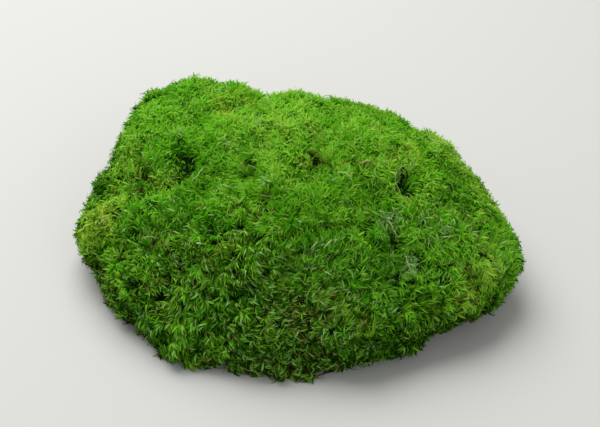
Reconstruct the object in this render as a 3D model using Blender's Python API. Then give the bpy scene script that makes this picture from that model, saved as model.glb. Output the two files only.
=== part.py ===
# A cushion of moss that grew in one piece, cut off flat where it was lifted from the ground.
# Metres, +Z up. X runs along the cushion's length and Y from its front to its back.
# The origin is in the middle of the underside, and the cushion rests there on its flat cut.

import bmesh
import bpy
import numpy as np

# Driving dimensions of the whole cushion, over its leafy tufts.
LENGTH = 0.204
WIDTH = 0.150
HEIGHT = 0.078

# The lobes that grew together, as fractions of the length, width and height:
# the centre from the middle of the underside, then the half axes.
LOBES = {
    "main dome": ((-0.01, 0.03, 0.20), (0.466, 0.467, 0.675)),
    "left crown": ((-0.216, 0.185, 0.400), (0.220, 0.310, 0.480)),
    "middle crown": ((-0.020, 0.08, 0.34), (0.294, 0.335, 0.640)),
    "right crown": ((0.15, 0.06, 0.25), (0.245, 0.307, 0.650)),
    "left shoulder": ((-0.24, -0.09, 0.305), (0.137, 0.150, 0.400)),
    "front crest": ((-0.025, -0.14, 0.375), (0.265, 0.180, 0.475)),
    "right ridge": ((0.24, -0.12, 0.27), (0.175, 0.200, 0.310)),
    "front dome": ((-0.11, -0.17, 0.125), (0.324, 0.280, 0.450)),
    "front right": ((0.10, -0.21, 0.175), (0.230, 0.267, 0.363)),
    "toe": ((-0.08, -0.35, 0.05), (0.235, 0.147, 0.325)),
    "right shoulder": ((0.315, -0.06, 0.24), (0.175, 0.280, 0.290)),
    "left ledge": ((-0.360, -0.05, 0.26), (0.137, 0.190, 0.250)),
}
LOBE_BLEND = 0.0026

# The point inside the cushion from which all of its outside can be seen.
CORE = (0.0, 0.0, 0.024)
RAY_LONGEST = 0.150
RAY_SHORTEST = 0.010
RAY_STEPS = 281

# Surface points, spread evenly on a ball of these proportions and then pushed out to the form.
POINT_COUNT = 6400
BALL_SHAPE = (1.00, 0.78, 0.64)

# Domes on the skin: their count, radius, rise, and how much the rise differs from one to another.
# Lumps are where a lobe swelled, and tufts are bunches of shoots. Neighbours meet in valleys.
LUMPS = (64, 0.0160, 0.0026, 0.0010)
TUFTS = (620, 0.0074, 0.0028, 0.0008)

# How far a dome or a surface point strays from even spacing, as a share of that spacing.
DOME_WANDER = 0.45
POINT_WANDER = 0.22
LEAF_ROUGHNESS = 0.0003

# Where the shoots have parted: from and to, in x and y as fractions of the length and width,
# then the furrow's radius and depth. The shortest ones are pits.
PARTINGS = {
    "left pit": ((-0.255, -0.015), (-0.270, -0.055), 0.0055, 0.0065),
    "left crease": ((-0.265, -0.050), (-0.375, -0.105), 0.0040, 0.0030),
    "middle crease": ((-0.235, -0.065), (-0.125, -0.120), 0.0040, 0.0030),
    "crown crease": ((0.055, 0.150), (0.040, 0.010), 0.0070, 0.0025),
    "small pit": ((0.026, -0.088), (0.036, -0.090), 0.0032, 0.0028),
    "right pit": ((0.222, -0.080), (0.222, -0.090), 0.0048, 0.0065),
    "right groove": ((0.155, -0.130), (0.205, -0.245), 0.0045, 0.0040),
    "right groove foot": ((0.205, -0.245), (0.218, -0.350), 0.0060, 0.0032),
    "ledge crease": ((-0.405, -0.030), (-0.400, -0.130), 0.0036, 0.0028),
    "back crease": ((-0.060, 0.300), (-0.085, 0.470), 0.0060, 0.0030),
    "back right crease": ((0.230, 0.200), (0.340, 0.340), 0.0050, 0.0030),
}

# Points this close to the cut are moved onto it first, so that it leaves no slivers.
SNAP_TO_CUT = 0.0007
CUT_TOLERANCE = 0.00001

NORMAL_STEP = 0.0005
SMOOTH_UP_TO_DEGREES = 70.0
SEED = 7

MOSS_GREEN = (0.085, 0.240, 0.018, 1.0)
MOSS_ROUGHNESS = 0.85


def clear_scene():
    for item in list(bpy.data.objects):
        bpy.data.objects.remove(item, do_unlink=True)


def ball_points(count, wander, chance):
    # A golden-angle spiral spreads points evenly over a unit ball, and each then strays a little.
    index = np.arange(count) + 0.5
    height = 1.0 - 2.0 * index / count
    turn = index * np.pi * (1.0 + np.sqrt(5.0))
    ring = np.sqrt(1.0 - height**2)
    even = np.stack([ring * np.cos(turn), ring * np.sin(turn), height], axis=-1)
    spacing = np.sqrt(4.0 * np.pi / count)
    strayed = even + wander * spacing * chance.uniform(-1.0, 1.0, even.shape)
    return strayed / np.linalg.norm(strayed, axis=-1, keepdims=True)


def lobe_distances(points):
    # Distance from each point to each lobe's ellipsoid, negative inside it.
    size = np.array([LENGTH, WIDTH, HEIGHT])
    distances = []
    for centre, half_axes in LOBES.values():
        half = np.array(half_axes) * size
        place = (points - np.array(centre) * size) / half
        level = np.linalg.norm(place, axis=-1)
        slope = np.linalg.norm(place / half, axis=-1)
        distances.append(level * (level - 1.0) / slope)
    return np.stack(distances)


def form_distance(points):
    # The lobes' smooth union, in which neighbouring lobes meet in soft creases.
    distances = lobe_distances(points)
    nearest = distances.min(axis=0)
    shares = np.exp(-(distances - nearest) / LOBE_BLEND)
    return nearest - LOBE_BLEND * np.log(shares.sum(axis=0))


def points_on_form(ball):
    # Each ball point gives a ray from the core. The ray is followed from outside inwards until
    # it enters the form, and the crossing between the last two steps is worked out.
    rays = ball * np.array(BALL_SHAPE)
    rays /= np.linalg.norm(rays, axis=-1, keepdims=True)
    reach = np.linspace(RAY_LONGEST, RAY_SHORTEST, RAY_STEPS)
    core = np.array(CORE)
    distance = form_distance(core + rays[:, None, :] * reach[None, :, None])
    first = np.clip(np.argmax(distance < 0.0, axis=1), 1, None)
    row = np.arange(len(rays))
    before = distance[row, first - 1]
    after = distance[row, first]
    share = before / (before - after)
    crossing = reach[first - 1] + (reach[first] - reach[first - 1]) * share
    return core + rays * crossing[:, None]


def form_normals(points):
    # The form's outward direction, from how its distance changes over a short step.
    slopes = []
    for axis in np.eye(3) * NORMAL_STEP:
        slopes.append(form_distance(points + axis) - form_distance(points - axis))
    normals = np.stack(slopes, axis=-1)
    return normals / np.linalg.norm(normals, axis=-1, keepdims=True)


def dome_offsets(points, domes, chance):
    # How far below its nearest dome's top each point lies: least in the middle, most in a valley.
    count, radius, rise, spread = domes
    centres = points_on_form(ball_points(count, DOME_WANDER, chance))
    rises = rise + spread * chance.uniform(-1.0, 1.0, count)
    gaps = np.linalg.norm(points[:, None, :] - centres[None, :, :], axis=-1)
    nearest = gaps.argmin(axis=1)
    away = np.minimum(gaps.min(axis=1) / radius, 1.0)
    return rises[nearest] * (1.0 - away**2) - rise


def parting_offsets(points):
    # A rounded furrow, sunk along the line between its two ends.
    plan_size = np.array([LENGTH, WIDTH])
    sunk = np.zeros(len(points))
    for start, end, radius, depth in PARTINGS.values():
        start_place = np.array(start) * plan_size
        run = np.array(end) * plan_size - start_place
        reach = points[:, :2] - start_place
        along = np.clip(reach @ run / (run @ run), 0.0, 1.0)
        away = np.linalg.norm(reach - along[:, None] * run, axis=-1)
        sunk -= depth * np.exp(-((away / radius) ** 2))
    return sunk


def cushion_points(ball, chance):
    points = points_on_form(ball)
    normals = form_normals(points)
    offsets = dome_offsets(points, LUMPS, chance) + dome_offsets(points, TUFTS, chance)
    offsets += parting_offsets(points) + LEAF_ROUGHNESS * chance.normal(size=len(points))
    return points + normals * offsets[:, None]


def fit_to_size(points):
    # Scales and shifts the part above the cut to the driving dimensions, middled on the origin.
    above = points[points[:, 2] > 0.0]
    low = above.min(axis=0)
    high = above.max(axis=0)
    middle = np.array([(low[0] + high[0]) / 2.0, (low[1] + high[1]) / 2.0, 0.0])
    extent = np.array([high[0] - low[0], high[1] - low[1], high[2]])
    fitted = (points - middle) * np.array([LENGTH, WIDTH, HEIGHT]) / extent
    near_cut = np.abs(fitted[:, 2]) < SNAP_TO_CUT
    fitted[near_cut, 2] = 0.0
    return fitted


def skin_over(ball, points):
    # The ball's convex hull joins neighbouring points with triangles. The same triangles then
    # join the cushion's points, because every one of them is seen from the core.
    shape = bmesh.new()
    corners = [shape.verts.new(place) for place in ball]
    bmesh.ops.convex_hull(shape, input=corners)
    for corner, place in zip(corners, points, strict=True):
        corner.co = place
    return shape


def cut_flat(shape):
    everything = list(shape.verts) + list(shape.edges) + list(shape.faces)
    bmesh.ops.bisect_plane(
        shape,
        geom=everything,
        dist=CUT_TOLERANCE,
        plane_co=(0.0, 0.0, 0.0),
        plane_no=(0.0, 0.0, 1.0),
        clear_inner=True,
    )
    rim = [edge for edge in shape.edges if edge.is_boundary]
    cut = bmesh.ops.contextual_create(shape, geom=rim)["faces"]
    bmesh.ops.triangulate(shape, faces=cut, quad_method="BEAUTY", ngon_method="EAR_CLIP")
    bmesh.ops.recalc_face_normals(shape, faces=list(shape.faces))


def moss_material():
    material = bpy.data.materials.new("moss")
    material.use_nodes = True
    surface = material.node_tree.nodes["Principled BSDF"]
    surface.inputs["Base Color"].default_value = MOSS_GREEN
    surface.inputs["Roughness"].default_value = MOSS_ROUGHNESS
    surface.inputs["Metallic"].default_value = 0.0
    return material


def moss_cushion():
    chance = np.random.default_rng(SEED)
    ball = ball_points(POINT_COUNT, POINT_WANDER, chance)
    shape = skin_over(ball, fit_to_size(cushion_points(ball, chance)))
    cut_flat(shape)
    mesh = bpy.data.meshes.new("moss_cushion")
    shape.to_mesh(mesh)
    shape.free()
    mesh.shade_smooth()
    mesh.set_sharp_from_angle(angle=np.radians(SMOOTH_UP_TO_DEGREES))
    mesh.materials.append(moss_material())
    cushion = bpy.data.objects.new("moss_cushion", mesh)
    bpy.context.scene.collection.objects.link(cushion)
    return cushion


clear_scene()
moss_cushion()
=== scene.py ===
import bpy
import numpy as np
from mathutils import Matrix, Vector


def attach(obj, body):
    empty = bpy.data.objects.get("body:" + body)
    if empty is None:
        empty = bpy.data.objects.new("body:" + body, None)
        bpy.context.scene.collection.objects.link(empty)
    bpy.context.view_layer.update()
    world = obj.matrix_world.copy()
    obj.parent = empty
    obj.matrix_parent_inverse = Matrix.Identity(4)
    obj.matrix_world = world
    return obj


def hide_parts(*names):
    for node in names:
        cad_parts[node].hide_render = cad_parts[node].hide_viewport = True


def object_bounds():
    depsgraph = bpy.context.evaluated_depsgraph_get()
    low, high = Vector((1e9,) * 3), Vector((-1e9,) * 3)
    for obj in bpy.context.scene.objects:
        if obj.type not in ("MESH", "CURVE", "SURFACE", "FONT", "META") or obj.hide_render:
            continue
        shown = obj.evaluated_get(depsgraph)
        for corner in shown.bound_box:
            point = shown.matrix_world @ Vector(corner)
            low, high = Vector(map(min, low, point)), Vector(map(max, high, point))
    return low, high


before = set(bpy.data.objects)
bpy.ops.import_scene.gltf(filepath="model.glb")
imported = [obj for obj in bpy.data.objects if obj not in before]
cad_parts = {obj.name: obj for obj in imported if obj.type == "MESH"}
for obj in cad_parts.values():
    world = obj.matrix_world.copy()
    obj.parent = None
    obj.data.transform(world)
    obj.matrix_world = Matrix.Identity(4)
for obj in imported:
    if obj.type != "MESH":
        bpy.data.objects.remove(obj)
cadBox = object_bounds()
mm = 0.001


def inMm(box):
    return [round(v / mm, 1) for v in (*box[0], *box[1])]


print("frame loaded: box", inMm(cadBox), "mm")

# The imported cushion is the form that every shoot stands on.
cushion = {
    "node": "moss_cushion",
    "sameCorner": 0.02 * mm,  # corners this close together are one
    "cutHeight": 0.4 * mm,  # faces this low belong to the flat cut underneath
    "tuftSmoothing": 2,  # passes that soften the normals, but keep the tufts apart
    "formSmoothing": 30,  # passes that leave only the lobes
}


def linearColour(hexCode):
    # sRGB hex to linear light: the dark end is a straight line, the rest a 2.4 power.
    srgb = np.array([int(hexCode[i : i + 2], 16) for i in (1, 3, 5)]) / 255.0
    linear = np.where(srgb <= 0.04045, srgb / 12.92, ((srgb + 0.055) / 1.055) ** 2.4)
    return (*linear.tolist(), 1.0)


def unit(vectors):
    # Each divided by its length, if it has one.
    return vectors / np.maximum(np.linalg.norm(vectors, axis=-1, keepdims=True), 1e-12)


def dot(a, b):
    # How far one runs along the other: the sum of their products.
    return (a * b).sum(axis=-1, keepdims=True)


def readSkin():
    # The node's loose triangles, joined where their corners meet: corner places, triangles.
    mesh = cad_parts[cushion["node"]].data
    mesh.calc_loop_triangles()
    places = np.empty(len(mesh.vertices) * 3)
    mesh.vertices.foreach_get("co", places)
    places = places.reshape(-1, 3)
    triangles = np.empty(len(mesh.loop_triangles) * 3, dtype=np.int64)
    mesh.loop_triangles.foreach_get("vertices", triangles)
    keys = np.round(places / cushion["sameCorner"]).astype(np.int64)
    _, first, which = np.unique(keys, axis=0, return_index=True, return_inverse=True)
    corners = places[first]
    joined = which.reshape(-1)[triangles].reshape(-1, 3)
    a, b, c = joined.T
    joined = joined[(a != b) & (b != c) & (c != a)]
    upper = corners[joined][:, :, 2].max(axis=1) > cushion["cutHeight"]
    return corners, joined[upper]


def cornerNormals(corners, triangles, passes):
    # Area-weighted normals, then averaged with their neighbours' that many times.
    a, b, c = (corners[triangles[:, i]] for i in range(3))
    across = np.cross(b - a, c - a)
    normals = np.zeros_like(corners)
    for i in range(3):
        np.add.at(normals, triangles[:, i], across)
    normals = unit(normals)
    for _ in range(passes):
        spread = normals.copy()
        for i, j in ((0, 1), (0, 2), (1, 0), (1, 2), (2, 0), (2, 1)):
            np.add.at(spread, triangles[:, i], normals[triangles[:, j]])
        normals = unit(spread)
    return normals


skinCorners, skinTriangles = readSkin()
tuftNormals = cornerNormals(skinCorners, skinTriangles, cushion["tuftSmoothing"])
formNormals = cornerNormals(skinCorners, skinTriangles, cushion["formSmoothing"])
print("skin read:", len(skinTriangles), "triangles")


noise = {
    "waves": 12,
    "fineness": (0.6, 1.5),  # of the broadest and the finest wave
    "total": 3.5,  # the waves' sum that counts as 1
}


def softNoise(places, size, seed):
    # A smooth pattern with patches of about the given size: cosine waves that run in seeded
    # directions with wavelengths near twice that size, added up. About -1 to 1.
    chance = np.random.default_rng(seed)
    count = noise["waves"]
    ways = unit(chance.normal(size=(count, 3)))
    ways = ways * chance.uniform(*noise["fineness"], (count, 1)) * np.pi / size
    shifts = chance.uniform(0.0, 2.0 * np.pi, count)
    return np.cos(places @ ways.T + shifts).sum(axis=-1) / noise["total"]


def squaredGaps(points, others):
    # Squares of the distances between two sets: both lengths squared, less twice the product.
    return (points**2).sum(axis=1)[:, None] + (others**2).sum(axis=1)[None, :] - 2.0 * points @ others.T


def bowedPaths(middles, ways, asides, lengths, bows, t):
    # Straight through each middle along its way, plus a parabola to the side that is nothing at
    # both ends and the bow in the middle.
    straight = middles[:, None] + (t - 0.5) * (lengths[:, None] * ways)[:, None]
    return straight + 4 * t * (1 - t) * (bows[:, None] * asides)[:, None]


def addToScene(name, data):
    thing = bpy.data.objects.new(name, data)
    bpy.context.scene.collection.objects.link(thing)
    return thing


def makePiece(name, places, faces, material, values=None, mapPlaces=None, smooth=True):
    # faces: a list of arrays, each of faces with the same number of corners.
    corners = np.concatenate([block.reshape(-1) for block in faces])
    sizes = np.concatenate([np.full(len(block), block.shape[1]) for block in faces])
    starts = np.concatenate([[0], np.cumsum(sizes)[:-1]])
    mesh = bpy.data.meshes.new(name)
    mesh.vertices.add(len(places))
    mesh.vertices.foreach_set("co", places.astype(np.float32).ravel())
    mesh.loops.add(len(corners))
    mesh.loops.foreach_set("vertex_index", corners.astype(np.int32))
    mesh.polygons.add(len(sizes))
    mesh.polygons.foreach_set("loop_start", starts.astype(np.int32))
    mesh.polygons.foreach_set("use_smooth", np.full(len(sizes), smooth))
    mesh.update(calc_edges=True)
    for key, data in (values or {}).items():
        layer = mesh.attributes.new(key, "FLOAT", "POINT")
        layer.data.foreach_set("value", data.astype(np.float32).ravel())
    if mapPlaces is not None:
        layer = mesh.uv_layers.new(name="OFBake")
        layer.uv.foreach_set("vector", mapPlaces[corners].astype(np.float32).ravel())
    mesh.materials.append(material)
    print(f"  {name}: {int((sizes - 2).sum())} triangles")
    return addToScene(name, mesh)


def addNode(tree, kind, settings=None, **links):
    # Adds a node and sets its properties and sockets. A socket goes by its name, or by i and its
    # number where names repeat, and is linked where it is given another's output.
    node = tree.nodes.new(kind)
    for key, value in (settings or {}).items():
        setattr(node, key, value)
    for key, value in links.items():
        numbered = key[0] == "i" and key[1:].isdigit()
        socket = node.inputs[int(key[1:]) if numbered else key.replace("_", " ")]
        if isinstance(value, bpy.types.NodeSocket):
            tree.links.new(value, socket)
        else:
            socket.default_value = value
    return node


def newMaterial(name):
    material = bpy.data.materials.new(name)
    material.use_nodes = True
    material.node_tree.nodes.clear()
    return material, material.node_tree


def rampColours(ramp, stops):
    # stops: (position, hex colour), from left to right.
    band = ramp.color_ramp
    while len(band.elements) > 1:
        band.elements.remove(band.elements[-1])
    band.elements[0].position = stops[0][0]
    band.elements[0].color = linearColour(stops[0][1])
    for position, hexCode in stops[1:]:
        band.elements.new(position).color = linearColour(hexCode)


# What grew: blades one cell thick and dry stalks. A colour goes by the tone, from withered through
# dark to light, and by how fresh the growth is, which mixes the second ramp in. In the leaves the
# tone is partly their age, old and dark against young and light, and partly painted light and
# painted shade. The tip has a colour of its own and the share that it takes, times the tone: in the
# leaves partly the young tip's own colour, partly a painted highlight where tips catch the light.
finishes = {
    # Moist and alive: light shines through, so the leaves glow where they are lit from behind,
    # and their small soft faces have next to no sheen.
    "moist_moss_leaf": {
        # Long dead at 0, just withered at 0.10, old and deep down in painted shade at 0.16, pale and waxy
        # at 1, where the paleness is partly a painted sheen.
        "grown": (
            (0.00, "#343010"), (0.05, "#5e5a24"), (0.10, "#88843e"), (0.16, "#0a3602"), (0.38, "#1c6204"),
            (0.62, "#429a0e"), (0.80, "#66be12"), (0.86, "#70c418"), (0.93, "#88cc3a"), (1.00, "#a8d084"),
        ),
        "fresh": (
            (0.00, "#443a16"), (0.05, "#746628"), (0.10, "#a09448"), (0.16, "#263e02"),
            (0.38, "#4b7606"), (0.62, "#83ad1c"), (0.82, "#aacb34"), (1.00, "#d2e266"),
        ),
        "tip": ("#b8e058", 0.26),
        "roughness": 0.55,
        "sheen": 0.03,
        "glowShare": 0.42,
    },
    # Dried and bleached: the cells are empty, so the leaf is greyer, duller and less clear.
    "dried_moss_leaf": {
        "grown": ((0.0, "#62622e"), (0.16, "#284014"), (0.5, "#4e822c"), (0.8, "#74a84a"), (1.0, "#9cc67a")),
        "fresh": ((0.0, "#746c30"), (0.16, "#424a1a"), (0.5, "#7c9838"), (0.8, "#a2b85a"), (1.0, "#c6d484")),
        "tip": ("#b4cc80", 0.35),
        "roughness": 0.7,
        "sheen": 0.25,
        "glowShare": 0.2,
    },
    # Dead stalks and straws: bare fibre, smooth along its length, brown to cream.
    "dry_straw": {
        "grown": ((0.0, "#443814"), (0.5, "#84742e"), (1.0, "#bab464")),
        "fresh": ((0.0, "#5c6c2c"), (0.5, "#8aa656"), (1.0, "#b4de94")),
        "tip": ("#bcd898", 0.15),
        "roughness": 0.6,
        "sheen": 0.3,
        "glowShare": 0.06,
    },
    # Root hairs and old stems, matted and dry: dull brown threads with a paler one here and there.
    "root_hair": {
        "grown": ((0.0, "#26190c"), (0.5, "#523a20"), (0.85, "#7a5c36"), (1.0, "#a88c5c")),
        "fresh": ((0.0, "#2c2a10"), (0.5, "#56542a"), (1.0, "#8c8a50")),
        "tip": ("#b49a6c", 0.1),
        "roughness": 0.9,
        "sheen": 0.1,
        "glowShare": 0.04,
    },
}
colourMix = {"data_type": "RGBA"}
plantIor = 1.38  # of plant tissue with water in it
tipPower = 2.0  # how late along a leaf its tip's colour comes in


def grownMaterial(name):
    look = finishes[name]
    material, tree = newMaterial(name)
    tone, along, fresh = (
        addNode(tree, "ShaderNodeAttribute", {"attribute_name": key}).outputs["Fac"]
        for key in ("tone", "along", "fresh")
    )
    grown = addNode(tree, "ShaderNodeValToRGB", Fac=tone)
    rampColours(grown, look["grown"])
    young = addNode(tree, "ShaderNodeValToRGB", Fac=tone)
    rampColours(young, look["fresh"])
    old, new = grown.outputs["Color"], young.outputs["Color"]
    blade = addNode(tree, "ShaderNodeMix", colourMix, i0=fresh, i6=old, i7=new)
    # The tip's colour comes in late along the leaf, and the more the higher the tone: partly a painted
    # highlight.
    share = addNode(tree, "ShaderNodeMath", {"operation": "POWER"}, i0=along, i1=tipPower)
    tipColour, tipShare = look["tip"]
    for factor in (tipShare, tone):
        share = addNode(tree, "ShaderNodeMath", {"operation": "MULTIPLY"}, i0=share.outputs[0], i1=factor)
    tip = linearColour(tipColour)
    colour = addNode(tree, "ShaderNodeMix", colourMix, i0=share.outputs[0], i6=blade.outputs[2], i7=tip)
    skin = {"Roughness": look["roughness"], "IOR": plantIor, "Specular_IOR_Level": look["sheen"]}
    front = addNode(tree, "ShaderNodeBsdfPrincipled", Base_Color=colour.outputs[2], **skin)
    through = addNode(tree, "ShaderNodeBsdfTranslucent", Color=colour.outputs[2])
    shaders = {"i1": front.outputs["BSDF"], "i2": through.outputs["BSDF"]}
    both = addNode(tree, "ShaderNodeMixShader", Fac=look["glowShare"], **shaders)
    addNode(tree, "ShaderNodeOutputMaterial", Surface=both.outputs[0])
    return material


# The map has a band for each step of freshness. In it a blade or stalk takes a narrow strip at its
# tone, with its foot at the bottom, so that equal colours share a place.
mapLook = {
    "freshSteps": 8,
    "sideMargin": 0.02,
    "bandMargin": 0.1,  # of a band's height
    "halfStrip": 0.002,
}


def inSteps(freshness):
    # Between 0 and 1, to the nearest step.
    last = mapLook["freshSteps"] - 1
    return np.round(np.clip(freshness, 0.0, 1.0) * last) / last


def grownPiece(name, places, faces, material, tones, freshness, along, across):
    # Leaves, stalks or hairs. Along runs from 0 at the foot to 1 at the tip, across from -1 to 1.
    tones, freshness, along, across = np.broadcast_arrays(tones, freshness, along, across)
    steps, side, band = mapLook["freshSteps"], mapLook["sideMargin"], mapLook["bandMargin"]
    right = side + (1.0 - 2.0 * side) * tones + mapLook["halfStrip"] * across
    up = (np.round(freshness * (steps - 1)) + band + (1.0 - 2.0 * band) * along) / steps
    mapPlaces = np.stack([right, up], axis=-1).reshape(-1, 2)
    values = {"tone": tones, "along": along, "fresh": freshness}
    piece = makePiece(name, places.reshape(-1, 3), faces, material, values, mapPlaces)
    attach(piece, "root")


# Shoots: they stand in bunches with dark gaps between, and each carries a spiral of leaves. Their
# fine points bend outwards, and partly to a side that is much the same through a whole bunch.
shoots = {
    "perTriangle": 0.88,  # shoots for a triangle of the skin of average size
    "inTriangle": 1.6,  # the higher, the nearer to a triangle's middle
    "leavesEach": 35,
    "levelSpread": 0.03,
    "spiral": 137.5,  # degrees round the stem from a leaf to the next
    "spiralSpread": 0.2,
    "leafLength": 5.3 * mm,
    "lengthSpread": 0.28,
    "shorter": 0.88,  # of the length, where the growth is closed
    "longer": 0.12,  # what open growth adds to that
    "leafWidth": 0.78 * mm,
    "widthSpread": 0.22,
    "deepest": 7.4 * mm,  # where the lowest leaves leave the stem, below the skin
    "shallowest": 2.3 * mm,  # where the top leaves leave it
    "lowSpread": 44.0,  # degrees between the stem and the lowest leaves
    "topSpread": 8.0,
    "ownSpread": 7.0,  # by chance
    "curl": 95.0,  # degrees that a leaf bends from its foot to its tip
    "curlSpread": 28.0,
    "curlPower": 1.3,  # the higher, the nearer to the tip it bends
    "sweepShare": 0.3,  # how far the leaves bend to their bunch's own side
    "openSweep": 0.35,  # more of it where the growth is open
    "ownSweep": 1.5,  # how much a stem's straying turns its own sweep
    "sweepLean": 0.4,  # how far stems lean to the side of the sweep
    "nod": 0.22,  # how far their points bend down to the cushion
    "patchSweep": 2.0,  # how strongly a parted or swirled patch turns the sweep
    "patchLean": 0.5,  # and the stems
    "twist": 40.0,
    "tuftShare": 0.4,  # of a stem's direction, from the tuft that it stands on
    "formShare": 0.7,  # and from the lobe
    "stray": 0.2,  # how far single stems stray from their bunch's direction
    "lift": 0.2,  # how far stems turn up towards the light
    "freeHeight": 0.8 * mm,  # above the skin, past which a leaf's height is held back
    "heldBack": 0.55,
    "spare": 2.0 * mm,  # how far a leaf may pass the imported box
    "lowest": 0.15 * mm,
    "toneSpread": 0.04,
    "openToneSpread": 0.13,  # more of it where the growth is open
    "seed": 11,
}
bunches = {
    "count": 1500,
    "clearing": 0.065,  # shoots this close to the line between two bunches are missing
    "lean": 0.17,
    "rise": 0.4 * mm,  # how much some bunches stand above others
    "droop": 1.3 * mm,  # how much lower a bunch is at its edge
    "sweepSize": 30 * mm,  # patches over which neighbouring bunches sweep alike
    "sweepSeeds": (31, 32, 33),
    "ownSweep": 0.6,
    "toneSpread": 0.025,
    "openAtFoot": 1.3,  # how open the growth is at the foot, against 1 less at the top
    "leastOpen": 0.25,
    "mostOpen": 1.2,
    "seed": 5,
}

# A leaf runs along these shares of its midrib and is this wide there, against its widest. Its six
# corners are the foot, two on the left edge, two on the right, and the tip.
leafSteps = np.array([0.0, 0.34, 0.70, 1.0])
leafWidths = np.array([0.0, 1.0, 0.62, 0.0])
leafFaces = (np.array([[1, 3, 4, 2]]), np.array([[0, 3, 1], [2, 4, 5]]))
leafAlong = leafSteps[[0, 1, 2, 1, 2, 3]]
leafAcross = np.array([0.0, -1.0, -1.0, 1.0, 1.0, 0.0])
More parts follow.
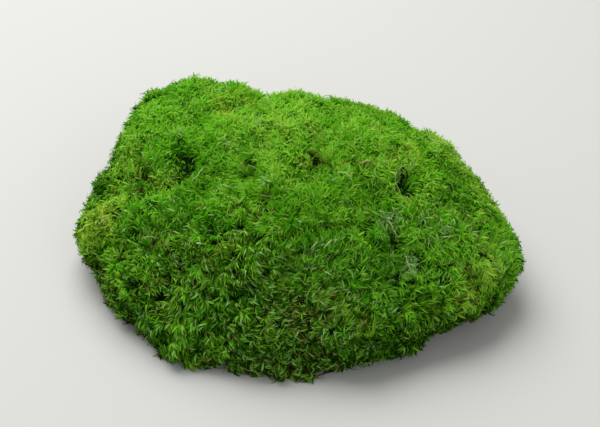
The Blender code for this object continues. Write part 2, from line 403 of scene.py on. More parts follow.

# Where the growth differs: the middle and reach in mm, then how much fresher the leaves are and how
# much painted light they get, painted shade where it is below 0, what share of the leaves is
# withered or pale, the paleness partly a painted sheen, what share of the shoots is dried or
# missing, by how many mm they are sunk, and how strongly the leaves around turn away from the
# middle (parted) or go round it (swirled).
gap = {"missing": 0.2, "sunk": 2.2, "parted": 0.4}  # a slot, but for what its row says otherwise
growth = {
    # Yellow-green patches, and patches of painted light and painted shade.
    "left_rim": ((-92, -10, 34), 20, {"fresh": 0.28, "light": 0.15}),
    "left_rim_tuft": ((-96, -13, 26), 8, {"fresh": 0.4, "light": 0.3}),
    "ledge_tuft": ((-86, -8, 37), 7, {"fresh": 0.5, "light": 0.38}),
    "ledge_back": ((-84, 14, 44), 9, {"fresh": 0.15, "light": 0.22}),
    "left_patch": ((-76, -13, 43), 7, {"fresh": 0.08, "light": 0.1}),
    "left_side": ((-64, -28, 46), 16, {"fresh": -0.08, "light": 0.06, "pale": 0.06}),
    "left_front": ((-52, -48, 32), 20, {"pale": 0.2}),
    # Two patches of painted light, the first also yellow-green.
    "yellow_painted_light_side_patch": ((-59, -7, 52), 7, {"fresh": 0.12, "light": 0.24}),
    "painted_light_front_patch": ((-38, -25, 60), 6, {"light": 0.1}),
    "low_left_patch": ((-71, -38, 33), 11, {"light": 0.18}),
    "low_left_rim": ((-81, -39, 24), 7, {"fresh": 0.3, "light": 0.06}),
    "low_left_tuft": ((-56, -56, 25), 6, {"fresh": 0.3, "light": 0.15}),
    "left_crown": ((-36, 35, 69), 24, {"fresh": 0.15, "light": 0.1}),
    "left_brow": ((-76, 18, 53), 14, {"fresh": 0.08, "light": 0.27}),
    "middle_crown": ((-6, 18, 76), 22, {"fresh": 0.15, "light": 0.03}),
    "right_crown": ((30, 12, 74), 16, {"fresh": 0.08, "light": 0.1}),
    "crest_patch": ((-29, -44, 50), 6, {"fresh": 0.25}),
    "crest_shade": ((-6, -35, 62), 12, {"light": -0.15}),
    "pit_shoulder": ((-4, -19, 68), 7, {"light": 0.28}),
    "crest_side": ((-25, -40, 54), 12, {"light": -0.08}),
    "crest_back": ((-36, -3, 68), 9, {"light": 0.08}),
    "crest_brow": ((-44, -15, 60), 10, {"light": -0.14}),
    "left_middle": ((-54, -28, 53), 9, {"light": -0.24}),
    "low_middle": ((-20, -50, 42), 10, {"fresh": 0.16, "light": -0.24}),
    "low_left_shade": ((-22, -58, 33), 12, {"fresh": -0.12, "light": -0.1}),
    "middle_hollow": ((-3, -49, 45), 8, {"light": 0.14}),
    "groove_bank": ((50, -37, 44), 11, {"light": 0.24}),
    "pit_bank": ((35, -11, 66), 6, {"light": 0.16}),
    "right_bank": ((72, -20, 46), 12, {"fresh": -0.1, "light": 0.08}),
    "right_brow": ((64, 22, 58), 13, {"fresh": 0.26, "light": 0.2}),
    "right_edge": ((78, 21, 42), 11, {"fresh": 0.16, "light": 0.42}),
    "right_rim": ((86, 6, 40), 15, {"fresh": 0.18, "light": 0.24}),
    "right_end": ((92, -27, 30), 15, {"fresh": 0.16, "light": 0.4}),
    "right_front": ((76, -30, 39), 16, {"fresh": -0.06, "light": 0.28}),
    "right_brim": ((75, -43, 25), 11, {"fresh": 0.5, "light": 0.06, "withered": 0.22}),
    "right_cheek": ((75, -7, 47), 6, {"fresh": 0.2, "withered": 0.14}),
    "front_patch": ((16, -50, 46), 6, {"light": 0.1}),
    "front_right_patch": ((34, -52, 38), 7, {"light": 0.1}),
    "front_right_shade": ((34, -46, 44), 22, {"fresh": -0.28}),
    "front_tuft": ((20, -62, 33), 4, {"fresh": 0.4, "light": 0.18}),
    "low_front_tuft": ((32, -66, 27), 5, {"fresh": 0.3, "light": 0.06}),
    "front_foot": ((21, -69, 22), 7, {"light": 0.12}),
    "crown_front": ((0, -8, 74), 10, {"fresh": 0.14}),
    "crown_side": ((20, -14, 69), 12, {"fresh": 0.14}),
    "right_foot": ((58, -55, 20), 11, {"fresh": 0.26}),
    "right_crown_edge": ((47, 8, 68), 9, {"fresh": 0.16, "light": 0.08}),
    # Pits and slots between the shoots, most of them darkened with painted shade.
    "left_pit": ((-51, 1, 60), 5.5, {"light": -0.2, "sunk": 1.6, "parted": 0.15, "swirled": 0.3}),
    "left_pit_top": ((-57, 6, 64), 3.5, {**gap, "light": -0.25, "missing": 0.1, "sunk": 2.0}),
    "second_pit": ((-44, -16, 60), 4, {**gap, "light": -0.22}),
    "dark_slot": (
        (-23, -15, 68), 4.5, {**gap, "light": -0.35, "withered": 0.4, "missing": 0.3, "parted": 0.5}
    ),
    "crest_slot": ((-15, -27, 67), 3.6, {**gap, "light": -0.22, "sunk": 2.0}),
    "left_hollow": ((-72, -1, 50), 6, {**gap, "light": -0.25, "withered": 0.9}),
    "ledge_slot": ((-83, 6, 41), 2.6, {**gap, "light": -0.2, "missing": 0.3, "sunk": 2.0}),
    "front_hollow": ((-37, -35, 55), 4.2, {**gap, "light": -0.14}),
    "low_hollow": ((-64, -35, 41), 4.5, {**gap, "light": -0.15, "withered": 0.2, "sunk": 1.8}),
    "right_pit": ((44.5, -8.5, 59), 4.6, {"light": -0.45, "missing": 0.35, "sunk": 2.8, "parted": 0.8}),
    "groove_pit": ((42, -32, 46), 4, {**gap, "light": 0.04, "missing": 0.1, "sunk": 1.0}),
    "groove_foot_pit": ((44, -43, 38), 4, {**gap, "light": -0.08, "sunk": 1.6}),
    # Withered, pale and dried places, some with painted shade as well, and the curved rows of leaves.
    "brown_ring": ((6, -8, 71), 5, {"light": -0.06, "withered": 0.45, "missing": 0.3, "swirled": 0.8}),
    "brown_bit": ((28, -6, 70), 3.2, {"withered": 0.8}),
    "brown_patch": ((11, -61, 37), 7, {"fresh": 0.35, "withered": 0.42}),
    "brown_front": ((1, -62, 30), 10, {"fresh": 0.1, "light": -0.24, "withered": 0.42}),
    "brown_left": ((-58, -49, 31), 8, {"withered": 0.25}),
    "brown_middle": ((-37, -46, 46), 8, {"fresh": 0.1, "light": -0.06, "withered": 0.2}),
    "front": ((2, -56, 39), 26, {"fresh": 0.12, "pale": 0.17}),
    "low_front": ((0, -66, 20), 28, {"fresh": -0.06, "light": -0.08, "withered": 0.12, "pale": 0.23}),
    "upper_groove": ((39, -27, 54), 5.5, {"pale": 0.25, "dried": 0.85}),
    "lower_groove": ((49, -40, 42), 5, {"pale": 0.15, "dried": 0.65}),
    "groove_side": ((61, -26, 49), 4, {"pale": 0.2, "dried": 0.35}),
    "groove_top": ((57, -20, 54), 3, {"pale": 0.25, "dried": 0.35}),
    "pit_rim": ((42, -5, 63), 3, {"dried": 0.6}),
    "pale_tuft": ((18, -14, 69), 2.6, {"dried": 0.35}),
    "arcs": ((-10, -44, 53), 18, {"swirled": 0.4}),
}
# Pale leaves are partly pale and waxy ones and partly a painted sheen.
everywhere = {"withered": 0.02, "deadAtFoot": 0.55, "pale": 0.08, "dried": 0.008}
aroundBase = {"height": 9 * mm, "withered": 0.45}

# What makes a leaf's tone and freshness. Levels run from 0 at the foot of a shoot to 1 at its top.
shades = {
    "base": 0.28,
    # Painted light: lighter where the form faces up, and the higher it stands.
    "facingUp": 0.2,
    "height": 0.39,
    "patches": ((0.02, 14 * mm, 21), (0.02, 38 * mm, 22)),  # strength, size, seed
    # Painted shade deep in the coat, with the older leaves' own darker green:
    "depth": 0.45,  # from the foot to the top of a shoot, in open growth
    "depthMiddle": 0.6,  # the level where that changes nothing
    "ownSpread": 0.12,
    # Painted light on the upper side of a shoot:
    "upperSide": 0.14,
    "openUpperSide": 0.1,  # more of it where the growth is open
    "clear": (0.16, 0.92),  # darkest and lightest, of a leaf neither withered nor pale
    "pale": (0.9, 1.0),
    "fresh": 0.06,
    "freshPatches": ((0.12, 20 * mm, 23), (0.16, 5 * mm, 24)),
    "freshSpread": 0.14,
    "witheredLevel": 1.4,  # the share that withers falls with the level, to nothing here
    "deadLevel": 0.4,  # and that of the dead leaves at the foot here
    "withered": 0.11,  # the tone of a withered leaf at the top
    "witheredSpread": 0.03,
}

# The lobes that part the coat of shoots, each by the middle of its top in mm.
coatLobes = {
    "left_crown_shoots": (-58, 26),
    "middle_crown_shoots": (-10, 36),
    "right_crown_shoots": (38, 32),
    "left_ledge_shoots": (-70, -20),
    "front_dome_shoots": (-18, -36),
    "front_right_shoots": (36, -36),
    "right_shoulder_shoots": (78, 0),
}


def shootPlaces():
    # Each triangle of the skin takes shoots by its area, at random weights of its corners.
    # Both kinds of normal come along.
    chance = np.random.default_rng(shoots["seed"])
    a, b, c = (skinCorners[skinTriangles[:, i]] for i in range(3))
    area = np.linalg.norm(np.cross(b - a, c - a), axis=-1)
    share = shoots["perTriangle"] * area / area.mean()
    takes = np.floor(share + chance.uniform(size=len(share))).astype(int)
    triangles = np.repeat(skinTriangles, takes, axis=0)
    weights = chance.dirichlet([shoots["inTriangle"]] * 3, len(triangles))[:, :, None]
    places = (skinCorners[triangles] * weights).sum(axis=1)
    tuft = unit((tuftNormals[triangles] * weights).sum(axis=1))
    form = unit((formNormals[triangles] * weights).sum(axis=1))
    return places, tuft, form


def gatherBunches(places):
    # Each shoot belongs to the nearest of the bunches' middles. Its margin is how much further the
    # second nearest is: 0 on the line between two bunches and near 1 in the middle of one.
    chance = np.random.default_rng(bunches["seed"])
    middles = chance.choice(skinCorners[np.unique(skinTriangles)], bunches["count"], replace=False)
    squares = squaredGaps(places, middles)
    own = squares.argmin(axis=1)
    near, second = np.sqrt(np.maximum(np.partition(squares, 1, axis=1)[:, :2], 0.0)).T
    margin = (second - near) / (second + near)
    return middles, own, margin


def growthShare(places, key):
    # The sum of soft round patches, each a bell of its distance over its reach.
    total = np.zeros(len(places))
    for middle, reach, change in growth.values():
        away = np.linalg.norm(places / mm - np.array(middle), axis=-1) / reach
        total += change.get(key, 0.0) * np.exp(-(away**2))
    return total


def growthTurn(places, form):
    # Which way the patches turn the leaves around them: away from the middle of a parted one and
    # around the middle of a swirled one, by the same bell of the distance with twice the reach.
    total = np.zeros_like(places)
    for middle, reach, change in growth.values():
        if "parted" in change or "swirled" in change:
            away = places / mm - np.array(middle)
            share = np.exp(-((np.linalg.norm(away, axis=-1, keepdims=True) / (2.0 * reach)) ** 2))
            outwards = unit(away - dot(away, form) * form)
            total += share * change.get("parted", 0.0) * outwards
            total += share * change.get("swirled", 0.0) * np.cross(form, outwards)
    return total


def patchNoise(places, patches):
    # Soft patterns of several sizes, each times its strength, added up.
    return sum(strength * softNoise(places, size, seed) for strength, size, seed in patches)


def leafTones(places, form, level, upwards, openness, perShoot, chance):
    # Painted light and shade: lighter where the form faces up, high on the crown, on a shoot's upper
    # side and in the growth's patches of painted light, darker in those of painted shade, with soft
    # patches of tone by chance. In open growth the tops of the shoots are lighter too, and the leaves
    # inside darker, partly painted shade and partly the darker green of older leaves. A withered
    # leaf's tone is near 0, the nearer the lower it stands, and a pale one's is near 1, its paleness
    # partly a painted sheen.
    height = places[:, 2] / cadBox[1].z
    opened = openness[:, None]
    tone = shades["base"] + shades["facingUp"] * form[:, 2] + shades["height"] * height**2
    tone = tone + patchNoise(places, shades["patches"])
    tone = (tone + perShoot + growthShare(places, "light"))[:, None]
    depth = shades["depth"] * (level - shades["depthMiddle"])
    tone = tone + opened * (depth + shades["ownSpread"] * chance.normal(size=level.shape))
    tone = tone + (shades["upperSide"] + shades["openUpperSide"] * opened) * upwards
    tone = np.clip(tone, *shades["clear"])
    fresh = shades["fresh"] + patchNoise(places, shades["freshPatches"]) + growthShare(places, "fresh")
    fresh = fresh[:, None] + shades["freshSpread"] * chance.normal(size=level.shape)
    # Pale leaves, partly a painted sheen:
    paleShare = everywhere["pale"] * openness + growthShare(places, "pale")
    pale = chance.uniform(size=level.shape) < paleShare[:, None]
    tone = np.where(pale, chance.uniform(*shades["pale"], level.shape), tone)
    fresh = np.where(pale, 0.0, fresh)
    low = np.clip(1.0 - places[:, 2] / aroundBase["height"], 0.0, 1.0)
    share = everywhere["withered"] + growthShare(places, "withered") + aroundBase["withered"] * low
    share = share[:, None] * (shades["witheredLevel"] - level)
    dead = everywhere["deadAtFoot"] * opened * np.clip(1.0 - level / shades["deadLevel"], 0.0, 1.0)
    gone = chance.uniform(size=level.shape) < share + dead
    astray = chance.uniform(-1.0, 1.0, level.shape) * shades["witheredSpread"]
    brown = np.clip(shades["withered"] * level + astray, 0.0, shades["withered"])
    return np.where(gone, brown, tone), inSteps(fresh)


def growLeaves():
    # Each midrib leaves the stem at the spread angle and bends by the curl angle, the more the
    # nearer to its tip, towards a side that is partly its own and partly its bunch's. It is added
    # up from straight steps. The blade's edges lie to both sides of it: from a pointed foot it is
    # soon at its widest, and it then narrows to a fine point.
    places, tuft, form = shootPlaces()
    middles, own, margin = gatherBunches(places)
    openness = bunches["openAtFoot"] - places[:, 2] / cadBox[1].z
    openness = np.clip(openness, bunches["leastOpen"], bunches["mostOpen"])
    there = np.random.default_rng(bunches["seed"] + 1).uniform(size=len(places))
    kept = (margin > bunches["clearing"] * openness**2) & (there > growthShare(places, "missing"))
    places, tuft, form, own, margin, openness = (
        kind[kept] for kind in (places, tuft, form, own, margin, openness)
    )
    count, each = len(places), shoots["leavesEach"]
    every = (count, each)
    chance = np.random.default_rng(shoots["seed"] + 1)
    bunchLean = chance.normal(size=(bunches["count"], 3)) * bunches["lean"]
    bunchRise = chance.uniform(-1.0, 1.0, bunches["count"]) * bunches["rise"]
    bunchTone = chance.normal(size=bunches["count"]) * bunches["toneSpread"]
    bunchSweep = chance.normal(size=(bunches["count"], 3)) * bunches["ownSweep"]
    stray = chance.normal(size=(count, 3)) * shoots["stray"] * openness[:, None] ** 0.5
    turned = growthTurn(places, form)
    upright = tuft * shoots["tuftShare"] + form * shoots["formShare"] + np.array([0.0, 0.0, shoots["lift"]])
    shared = np.stack([softNoise(middles, bunches["sweepSize"], i) for i in bunches["sweepSeeds"]], axis=-1)
    sweep = unit(shared + bunchSweep)[own]
    sweep = unit(sweep + shoots["patchSweep"] * turned + shoots["ownSweep"] * stray)
    aside = sweep - dot(sweep, form) * form
    leaning = bunchLean[own] + shoots["sweepLean"] * openness[:, None] * aside
    stem = unit(upright + leaning + stray + shoots["patchLean"] * turned)
    sideways = unit(np.cross(stem, chance.normal(size=(count, 3))))
    forwards = np.cross(stem, sideways)
    level = chance.uniform(-1.0, 1.0, every) * shoots["levelSpread"] + np.linspace(0.0, 1.0, each)
    turn = chance.uniform(0.0, 2.0 * np.pi, (count, 1)) + np.arange(each) * np.radians(shoots["spiral"])
    turn = (turn + chance.normal(size=every) * shoots["spiralSpread"])[..., None]
    spread = np.radians(shoots["lowSpread"] + (shoots["topSpread"] - shoots["lowSpread"]) * level)
    spread = spread + np.radians(shoots["ownSpread"]) * chance.normal(size=every)
    spread = spread[..., None]
    outwards = np.cos(turn) * sideways[:, None] + np.sin(turn) * forwards[:, None]
    start = np.cos(spread) * stem[:, None] + np.sin(spread) * outwards
    ownBend = np.sin(spread) * -stem[:, None] + np.cos(spread) * outwards
    sweepShare = (shoots["sweepShare"] + shoots["openSweep"] * openness)[:, None, None]
    bend = ownBend * (1.0 - sweepShare) + sweep[:, None] * sweepShare
    bend = bend + turned[:, None] - shoots["nod"] * form[:, None]
    bend = unit(bend - dot(bend, start) * start)
    curl = np.radians(shoots["curl"] + shoots["curlSpread"] * chance.normal(size=every))
    length = shoots["leafLength"] * (shoots["shorter"] + shoots["longer"] * openness[:, None])
    length = length * (1.0 + shoots["lengthSpread"] * chance.uniform(-1.0, 1.0, every))
    width = shoots["leafWidth"] * (1.0 + shoots["widthSpread"] * chance.uniform(-1.0, 1.0, every))
    depth = shoots["deepest"] + (shoots["shallowest"] - shoots["deepest"]) * level
    depth = depth + (openness * (bunches["droop"] * (1.0 - margin) ** 2 - bunchRise[own]))[:, None]
    sunk = growthShare(places, "sunk")[:, None] * mm * form
    foot = (places - sunk)[:, None] - depth[..., None] * stem[:, None]
    midrib = [foot]
    for before, after in zip(leafSteps[:-1], leafSteps[1:]):
        angle = (curl * ((before + after) / 2.0) ** shoots["curlPower"])[..., None]
        step = np.cos(angle) * start + np.sin(angle) * bend
        midrib.append(midrib[-1] + (length * (after - before))[..., None] * step)
    midrib = np.stack(midrib, axis=2)
    height = dot(midrib - places[:, None, None], form[:, None, None])
    over = np.maximum(height - shoots["freeHeight"], 0.0)
    midrib = midrib - shoots["heldBack"] * over * form[:, None, None]
    along = unit(midrib[:, :, 2:] - midrib[:, :, :-2])
    across = unit(np.cross(along, bend[:, :, None]))
    facing = np.cross(across, along)
    twist = np.radians(shoots["twist"]) * chance.normal(size=(count, each, 1)) * leafSteps[1:-1]
    edge = np.cos(twist)[..., None] * across + np.sin(twist)[..., None] * facing
    half = (0.5 * width[..., None] * leafWidths[1:-1])[..., None] * edge
    foot, blade, tip = midrib[:, :, :1], midrib[:, :, 1:-1], midrib[:, :, -1:]
    leaves = np.concatenate([foot, blade - half, blade + half, tip], axis=2)
    ownTone = shoots["toneSpread"] + shoots["openToneSpread"] * openness
    perShoot = bunchTone[own] + ownTone * chance.normal(size=count)
    tone, fresh = leafTones(places, form, level, outwards[..., 2], openness, perShoot, chance)
    return places, leaves, tone, fresh


def coatPiece(name, leaves, tone, fresh, material):
    # leaves: shoots x leaves x 6 corners x 3. Every leaf has the same faces, numbered on.
    flat = leaves.reshape(-1, 6, 3)
    first = (np.arange(len(flat)) * 6)[:, None, None]
    faces = [(first + corners).reshape(-1, corners.shape[1]) for corners in leafFaces]
    tone, fresh = tone.reshape(-1, 1), fresh.reshape(-1, 1)
    grownPiece(name, flat, faces, material, tone, fresh, leafAlong, leafAcross)


def growCoat():
    places, leaves, tone, fresh = growLeaves()
    low, high = np.array(cadBox[0]), np.array(cadBox[1])
    leaves = np.clip(leaves, low - shoots["spare"], high + shoots["spare"])
    leaves[..., 2] = np.maximum(leaves[..., 2], shoots["lowest"])
    tops = np.array(list(coatLobes.values())) * mm
    nearest = np.linalg.norm(places[:, None, :2] - tops[None], axis=-1).argmin(axis=1)
    chosen = np.random.default_rng(shoots["seed"] + 2).uniform(size=len(places))
    dried = chosen < everywhere["dried"] + growthShare(places, "dried")
    moist = grownMaterial("moist_moss_leaf")
    for index, name in enumerate(coatLobes):
        mine = (nearest == index) & ~dried
        coatPiece(name, leaves[mine], tone[mine], fresh[mine], moist)
    coatPiece("dried_shoots", leaves[dried], tone[dried], fresh[dried], grownMaterial("dried_moss_leaf"))


growCoat()
print("coat grown")


# Dead stalks and straws caught among the shoots. Those with a name show in particular places, by
# three points in mm and their width and tone, and the rest are strewn all over.
straws = {
    "named": {
        "across_left_pit": (((-48, -14, 59), (-45, -8, 60), (-42, -3, 61)), 0.5, 0.6),
        "over_right_pit": (((50, -2, 64), (45, -1.5, 64), (41, -4, 63)), 0.45, 0.55),
        "round_right_pit": (((42, -3, 63), (40, -8, 62), (44, -13, 57)), 0.55, 0.5),
        "below_right_pit": (((41, -9, 61), (43, -13, 57), (48, -17, 58)), 0.45, 0.6),
        "beside_right_pit": (((32, -7, 68), (31, -11, 67), (34, -13, 65)), 0.4, 0.55),
        "down_groove": (((37, -26, 55), (40, -29, 52), (43, -32, 48)), 0.55, 0.7),
        "below_groove": (((46, -36, 44), (47, -40, 41), (50, -43, 38)), 0.45, 0.6),
        "first_crest_twig": (((-36, -18, 63), (-32, -21, 64), (-29, -22, 65)), 0.45, 0.6),
        "second_crest_twig": (((-30, -24, 63), (-27, -28, 62), (-24, -26, 65)), 0.45, 0.55),
        "over_slot": (((-27, -13, 67), (-23, -13, 69), (-19, -16, 70)), 0.4, 0.25),
        "withered_leaf": (((24, -7, 69), (27, -7, 70), (30, -6, 70)), 0.8, 0.45),
        "pale_leaf": (((14, -13, 68), (18, -14, 69), (22, -17, 67)), 0.5, 0.7),
        "right_twig": (((61, -28, 48), (64, -28, 48), (68, -25, 47)), 0.45, 0.7),
        "low_left_twig": (((-68, -34, 41), (-65, -32, 43), (-61, -34, 44)), 0.45, 0.55),
        "front_twig": (((21, -42, 52), (24, -43, 50), (24, -46, 48)), 0.4, 0.55),
        "front_left_speck": (((-43, -42, 50), (-42, -42, 50), (-40.8, -42, 50)), 0.75, 0.85),
        "front_speck": (((5, -45, 53), (6.5, -43.5, 54), (8, -42, 55)), 0.8, 0.5),
        "front_right_speck": (((10.5, -44, 53), (12.3, -42, 54), (14, -40.5, 55)), 0.7, 0.72),
    },
    "namedRise": 1.0 * mm,  # above the skin, to lie on the leaf tips
    "strewn": 45,
    "shortest": 3.0 * mm,
    "longest": 9.0 * mm,
    "width": 0.3 * mm,
    "widths": (0.7, 1.3),  # of the strewn ones, times that
    "tones": (0.0, 0.8),  # and their tone and freshness
    "ends": 0.25,  # the least that a straw keeps of its width
    "bluntness": 0.04,  # of its length, where an end stops getting thinner
    "bow": 0.18,  # of its length
    "strewnRise": 0.4 * mm,
    "dip": 1.6 * mm,  # how far the ends go down among the leaves
    "lowest": 0.8 * mm,
    "sides": 5,
    "steps": 8,
    "seed": 17,
}


def onSkin(points):
    # Each point goes along the nearest skin corner's normal until it is level with that corner.
    flat = points.reshape(-1, 3)
    nearest = squaredGaps(flat, skinCorners).argmin(axis=1)
    normals = formNormals[nearest]
    short = dot(skinCorners[nearest] - flat, normals)
    return (flat + short * normals).reshape(points.shape), normals.reshape(points.shape)


def tubes(paths, normals, widths, sides):
    # A round profile carried along each path, thinner to both ends by the root of half a sine
    # wave. Corners come tube by tube and ring by ring, and faces point outwards.
    count, steps = paths.shape[:2]
    forwards = unit(np.gradient(paths, axis=1))
    sideways = unit(np.cross(forwards, normals))
    upwards = np.cross(sideways, forwards)
    u = np.linspace(0.0, 1.0, steps)
    blunt, least = straws["bluntness"], straws["ends"]
    taper = least + (1.0 - least) * np.sin(np.pi * np.clip(u, blunt, 1.0 - blunt)) ** 0.5
    turn = np.linspace(0.0, 2.0 * np.pi, sides, endpoint=False)
    ring = np.cos(turn)[:, None] * sideways[:, :, None] + np.sin(turn)[:, None] * upwards[:, :, None]
    places = paths[:, :, None] + 0.5 * widths[:, None, None, None] * taper[:, None, None] * ring
    first = (np.arange(count) * steps * sides)[:, None, None]
    row = (np.arange(steps - 1) * sides)[:, None]
    side = np.arange(sides)
    after = (side + 1) % sides
    near, far = first + row, first + row + sides
    quads = np.stack([near + side, near + after, far + after, far + side], axis=-1)
    start = first[:, 0] + side[::-1]
    end = first[:, 0] + (steps - 1) * sides + side
    return places, [quads.reshape(-1, 4), start, end]


def layStraws():
    # Each straw is a parabola through its three points, or from a strewn middle to both sides with
    # a bow, laid on the skin. Its middle rises above its ends, which go in among the leaves.
    chance = np.random.default_rng(straws["seed"])
    t = np.linspace(0.0, 1.0, straws["steps"] + 1)[:, None]
    named, widths, tones = (np.array(column) for column in zip(*straws["named"].values()))
    start, middle, end = (named[:, i : i + 1] * mm for i in range(3))
    paths = start * (1 - t) * (1 - 2 * t) + middle * 4 * t * (1 - t) + end * t * (2 * t - 1)
    count = straws["strewn"]
    spot = chance.choice(np.unique(skinTriangles), count, replace=False)
    way = unit(np.cross(formNormals[spot], chance.normal(size=(count, 3))))
    aside = np.cross(formNormals[spot], way)
    length = chance.uniform(straws["shortest"], straws["longest"], count)
    bow = straws["bow"] * chance.uniform(-1.0, 1.0, count) * length
    paths = np.concatenate([paths, bowedPaths(skinCorners[spot], way, aside, length, bow, t)])
    widths = np.concatenate([widths * mm, straws["width"] * chance.uniform(*straws["widths"], count)])
    tones = np.concatenate([tones, chance.uniform(*straws["tones"], count)])
    fresh = inSteps(np.concatenate([np.full(len(named), 1.0), chance.uniform(*straws["tones"], count)]))
    paths, normals = onSkin(paths)
    rise = np.repeat([straws["namedRise"], straws["strewnRise"]], [len(named), count])
    paths = paths + (rise[:, None, None] - straws["dip"] * (2 * t - 1) ** 4) * normals
    paths[..., 2] = np.maximum(paths[..., 2], straws["lowest"])
    places, faces = tubes(paths, normals, widths, straws["sides"])
    across = np.linspace(-1.0, 1.0, straws["sides"])
    tones, fresh = tones[:, None, None], fresh[:, None, None]
    grownPiece("dry_straws", places, faces, grownMaterial("dry_straw"), tones, fresh, t, across)


layStraws()
print("straws laid")


# The felt that the shoots stand in: packed old stems, nearly black green between the shoots, their
# own dark green with painted shade in it, and brown at the cut. It is dull, because nothing in it is
# smooth.
felt = {
    "around": 120,
    "up": 60,
    "inset": 5.5 * mm,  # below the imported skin
    "sinks": 2.0,  # times as far as the shoots over it, in the pits
    "core": (0.0, 0.0, 24 * mm),
    "softness": 0.045,  # radians over which the skin's distance is averaged
    "lowest": 0.3 * mm,
    # The stems' own dark green, darkened to near black as painted shade:
    "stemAndShadeColours": ("#0a1a05", "#18340b"),
    "soilColours": ("#2a1c10", "#5a4226"),  # of the dead stems and root hairs at the cut
    "soilHeight": 7 * mm,
    "grain": 1.1 * mm,
    "grainDetail": 4.0,
    "bump": 0.6,
    "roughness": 1.0,
    "sheen": 0.1,
}


def feltMaterial():
    material, tree = newMaterial("matted_moss_felt")
    place = addNode(tree, "ShaderNodeTexCoord").outputs["Object"]
    fineness = {"Scale": 1.0 / felt["grain"], "Detail": felt["grainDetail"]}
    grain = addNode(tree, "ShaderNodeTexNoise", Vector=place, **fineness).outputs["Fac"]
    stems, soil = (
        addNode(tree, "ShaderNodeMix", colourMix, i0=grain, i6=linearColour(dark), i7=linearColour(light))
        for dark, light in (felt["stemAndShadeColours"], felt["soilColours"])
    )
    height = addNode(tree, "ShaderNodeSeparateXYZ", Vector=place).outputs["Z"]
    low = addNode(tree, "ShaderNodeMapRange", Value=height, From_Min=0.0, From_Max=felt["soilHeight"])
    above, under = stems.outputs[2], soil.outputs[2]
    colour = addNode(tree, "ShaderNodeMix", colourMix, i0=low.outputs["Result"], i6=under, i7=above)
    bump = addNode(tree, "ShaderNodeBump", Height=grain, Strength=felt["bump"], Distance=felt["grain"])
    dull = {"Roughness": felt["roughness"], "Specular_IOR_Level": felt["sheen"]}
    links = {"Base_Color": colour.outputs[2], "Normal": bump.outputs["Normal"]}
    surface = addNode(tree, "ShaderNodeBsdfPrincipled", **dull, **links)
    addNode(tree, "ShaderNodeOutputMaterial", Surface=surface.outputs["BSDF"])
    return material


def feltCore():
    # A ball of directions from a core point, round and up. Each is followed to the skin's average
    # distance near that direction, less the inset and what a pit sinks, but never below the cut.
    # A corner counts by a bell of its angle, whose square is twice what the cosine lacks of 1.
    core = np.array(felt["core"])
    spokes = skinCorners[np.unique(skinTriangles)] - core
    lengths = np.linalg.norm(spokes, axis=-1)
    around, up = felt["around"], felt["up"]
    turn = np.linspace(0.0, 2.0 * np.pi, around, endpoint=False)
    rise = np.linspace(-0.5 * np.pi, 0.5 * np.pi, up + 1)[1:-1, None]
    flat = np.cos(rise)
    ways = np.stack([flat * np.cos(turn), flat * np.sin(turn), np.sin(rise) + 0.0 * turn], axis=-1)
    ways = np.concatenate([ways.reshape(-1, 3), [[0.0, 0.0, -1.0], [0.0, 0.0, 1.0]]])
    closeness = ways @ (spokes / lengths[:, None]).T
    shares = np.exp(2.0 * (closeness - closeness.max(axis=1, keepdims=True)) / felt["softness"] ** 2)
    reach = (shares @ lengths) / shares.sum(axis=1)
    sunk = felt["sinks"] * growthShare(core + ways * reach[:, None], "sunk") * mm
    reach = reach - felt["inset"] - sunk
    down = np.maximum(-ways[:, 2], 1e-6)
    points = core + ways * np.minimum(reach, (core[2] - felt["lowest"]) / down)[:, None]
    ring = np.arange(around)
    after = (ring + 1) % around
    rows = (np.arange(up - 2) * around)[:, None]
    quads = np.stack([rows + ring, rows + after, rows + around + after, rows + around + ring], axis=-1)
    bottom, top = len(points) - 2, len(points) - 1
    last = (up - 2) * around
    under = np.stack([np.full(around, bottom), after, ring], axis=-1)
    over = np.stack([np.full(around, top), last + ring, last + after], axis=-1)
    return makePiece("matted_felt", points, [quads.reshape(-1, 4), under, over], feltMaterial())


core = feltCore()
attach(core, "root")
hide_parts(cushion["node"])
print("felt made")


# Root hairs under the flat cut. They lie matted over one another, each at a height of its own.
roots = {
    "count": 2000,
    "shortest": 7 * mm,
    "longest": 26 * mm,
    "width": 0.34 * mm,
    "widths": (0.6, 1.4),  # times that
    "ends": 0.06,  # the nearer to 0, the more pointed
    "bow": 0.22,  # of its length
    "lowest": 0.12 * mm,
    "highest": 0.28 * mm,
    "inside": 0.97,  # of the way to the cut's edge
    "edgeSteps": 72,
    "tonePower": 1.5,  # the higher, the fewer are pale
    "fresh": (-0.5, 0.6),  # less than 0 counts as 0
    "steps": 5,
    "seed": 29,
}


def cutEdge(turn):
    # How far the cut reaches from the middle in each direction, from the skin's lowest corners.
    low = skinCorners[skinCorners[:, 2] < cushion["cutHeight"]]
    reach = np.hypot(low[:, 0], low[:, 1])
    count = roots["edgeSteps"]
    steps = np.linspace(-np.pi, np.pi, count + 1)
    bins = np.digitize(np.arctan2(low[:, 1], low[:, 0]), steps) - 1
    farthest = np.array([reach[bins == i].max(initial=0.0) for i in range(count)])
    return np.interp(turn, (steps[:-1] + steps[1:]) / 2.0, farthest, period=2.0 * np.pi)


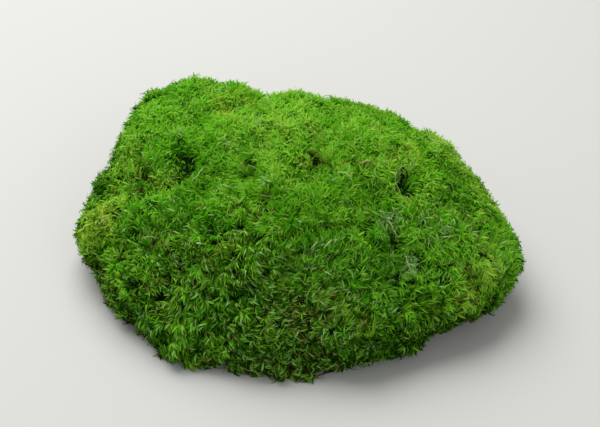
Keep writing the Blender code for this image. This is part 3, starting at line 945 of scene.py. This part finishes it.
def growRoots():
    # Each hair is a flat ribbon along a parabola: a straight run through a random place of the
    # cut, bowed to one side, with both edges half a width from it and both ends pointed.
    chance = np.random.default_rng(roots["seed"])
    count = roots["count"]
    t = np.linspace(0.0, 1.0, roots["steps"])[:, None]
    turn = chance.uniform(-np.pi, np.pi, count)
    reach = np.sqrt(chance.uniform(size=count)) * cutEdge(turn)
    middle = np.stack([reach * np.cos(turn), reach * np.sin(turn)], axis=-1)
    heading = chance.uniform(-np.pi, np.pi, count)
    way = np.stack([np.cos(heading), np.sin(heading)], axis=-1)
    aside = np.stack([-way[:, 1], way[:, 0]], axis=-1)
    length = chance.uniform(roots["shortest"], roots["longest"], count)
    bow = roots["bow"] * chance.uniform(-1.0, 1.0, count) * length
    path = bowedPaths(middle, way, aside, length, bow, t)
    outwards = np.linalg.norm(path, axis=-1)
    most = roots["inside"] * cutEdge(np.arctan2(path[..., 1], path[..., 0]))
    path = path * np.minimum(1.0, most / np.maximum(outwards, 1e-6))[..., None]
    along = unit(np.gradient(path, axis=1))
    across = np.stack([-along[..., 1], along[..., 0]], axis=-1)
    taper = np.sin(np.pi * (roots["ends"] + (1.0 - 2.0 * roots["ends"]) * t))
    half = 0.5 * roots["width"] * chance.uniform(*roots["widths"], (count, 1, 1)) * taper * across
    edges = np.stack([path - half, path + half], axis=2)
    height = chance.uniform(roots["lowest"], roots["highest"], (count, 1, 1, 1))
    places = np.concatenate([edges, np.broadcast_to(height, (*edges.shape[:3], 1))], axis=-1)
    first = (np.arange(count) * roots["steps"] * 2)[:, None] + np.arange(roots["steps"] - 1) * 2
    faces = np.stack([first, first + 1, first + 3, first + 2], axis=-1).reshape(-1, 4)
    tones = chance.uniform(0.0, 1.0, (count, 1, 1)) ** roots["tonePower"]
    fresh = inSteps(chance.uniform(*roots["fresh"], (count, 1, 1)))
    grownPiece("root_hairs", places, [faces], grownMaterial("root_hair"), tones, fresh, t, [-1.0, 1.0])


growRoots()
print("roots grown")


# A plain pale floor, so large that its corners stay out of sight.
floorLook = {"size": 12.0, "colour": "#bebdb9", "roughness": 0.8}


def layFloor():
    corners = np.array([[-1, -1, 0], [1, -1, 0], [1, 1, 0], [-1, 1, 0]]) * floorLook["size"] / 2.0
    material, tree = newMaterial("matt_paper_floor")
    colour = linearColour(floorLook["colour"])
    surface = addNode(tree, "ShaderNodeBsdfPrincipled", Base_Color=colour, Roughness=floorLook["roughness"])
    addNode(tree, "ShaderNodeOutputMaterial", Surface=surface.outputs["BSDF"])
    floor = makePiece("floor", corners, [np.array([[0, 1, 2, 3]])], material, smooth=False)


# Soft studio light: a large lamp above and a little behind, a weak one in front, and pale air.
lampLooks = {
    "top_lamp": {"place": (-0.32, 0.42, 0.95), "size": 1.1, "watts": 15.9},
    "front_lamp": {"place": (0.5, -0.9, 0.7), "size": 0.9, "watts": 2.0},
}
airLight = {"colour": "#eceef0", "strength": 0.52}


def hangLamps():
    for name, look in lampLooks.items():
        lamp = bpy.data.lights.new(name, "AREA")
        lamp.shape = "DISK"
        lamp.size = look["size"]
        lamp.energy = look["watts"]
        holder = addToScene(name, lamp)
        holder.location = look["place"]
        holder.rotation_euler = (-Vector(look["place"])).to_track_quat("-Z", "Y").to_euler()
    world = bpy.data.worlds.new("pale_air")
    world.use_nodes = True
    air = world.node_tree.nodes["Background"]
    air.inputs["Color"].default_value = linearColour(airLight["colour"])
    air.inputs["Strength"].default_value = airLight["strength"]
    bpy.context.scene.world = world


# The camera stands where the photograph's stood, seen from the cushion.
cameraLook = {
    "place": (-0.002, -0.521, 0.510),
    "aim": (0.0, 0.004, 0.028),
    "lens": 94.0,
    "sensor": 36.0,
    "roll": 3.0,
    "nearest": 0.05,
}


def placeCamera():
    camera = bpy.data.cameras.new("camera")
    camera.lens = cameraLook["lens"]
    camera.sensor_width = cameraLook["sensor"]
    camera.clip_start = cameraLook["nearest"]
    holder = addToScene("camera", camera)
    place, aim = Vector(cameraLook["place"]), Vector(cameraLook["aim"])
    roll = Matrix.Rotation(np.radians(cameraLook["roll"]), 3, "Z")
    turned = (aim - place).to_track_quat("-Z", "Y").to_matrix() @ roll
    holder.matrix_world = Matrix.Translation(place) @ turned.to_4x4()
    bpy.context.scene.camera = holder


layFloor()
hangLamps()
placeCamera()
bpy.context.scene.view_settings.view_transform = "Standard"
print("stage set")
